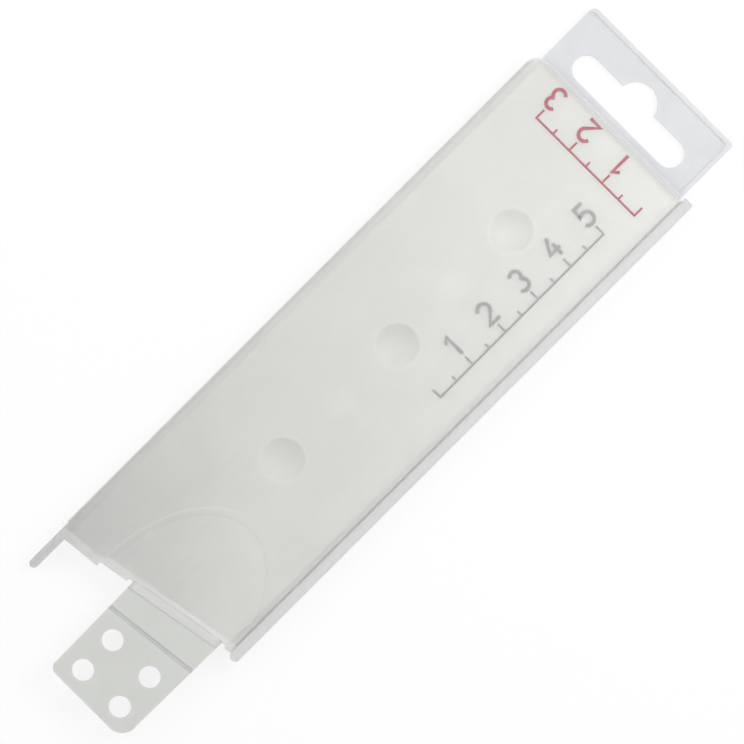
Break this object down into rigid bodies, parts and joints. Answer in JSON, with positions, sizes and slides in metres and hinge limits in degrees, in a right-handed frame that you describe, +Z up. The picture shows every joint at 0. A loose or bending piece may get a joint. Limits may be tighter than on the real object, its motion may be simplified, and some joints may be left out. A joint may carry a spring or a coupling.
{
  "type": "knife blade guard",
  "caption": "Hinged milky plastic guard that shuts round a knife blade, with grip nubs, a snap rail, a hanger tab and a creased strap with round holes at the mouth.",
  "frame": {"origin": "middle of the part's box, on the surface that the rear panel lies on", "axes": "+X from the strap to the hanger end, +Y from the snap rail to the edge wall, +Z up out of the front cover"},
  "size_m": [0.1854, 0.0476, 0.0074],
  "materials": {
    "panel_plastic": "milky, see-through, satin",
    "edge_plastic": "milky, see-through, satin, seen through its height",
    "tab_plastic": "milky, see-through, satin, one layer",
    "rail_plastic": "milky, see-through, satin",
    "strap_plastic": "milky, see-through, satin, one layer",
    "web_plastic": "milky, see-through, drawn thin"
  },
  "bodies": {
    "case": {"rear_panel": "panel_plastic", "hang_tab": "tab_plastic", "snap_rail": "rail_plastic", "cover_hinge_web": "web_plastic"},
    "cover": {"cover_panel": "panel_plastic", "edge_wall": "edge_plastic", "strap_root_web": "web_plastic"},
    "band": {"strap_band": "strap_plastic", "strap_fold_web": "web_plastic"},
    "end_plate": {"strap_plate": "strap_plastic"}
  },
  "joints": [
    {"name": "cover_hinge", "type": "hinge", "parent": "case", "child": "cover", "pos_m": [0, 0.02355, 0.00118], "axis": [-1, 0, 0], "range_deg": [0, 180]},
    {"name": "strap_root", "type": "hinge", "parent": "cover", "child": "band", "pos_m": [-0.06525, -0.00705, 0.00722], "axis": [0.1771, -0.9842, 0], "range_deg": [-145, 60], "stiffness_Nm_per_rad": 0.004},
    {"name": "strap_fold", "type": "hinge", "parent": "band", "child": "end_plate", "pos_m": [-0.07275, -0.00705, 0.00658], "axis": [0.1132, -0.9936, 0], "range_deg": [-35, 90], "stiffness_Nm_per_rad": 0.003}
  ]
}
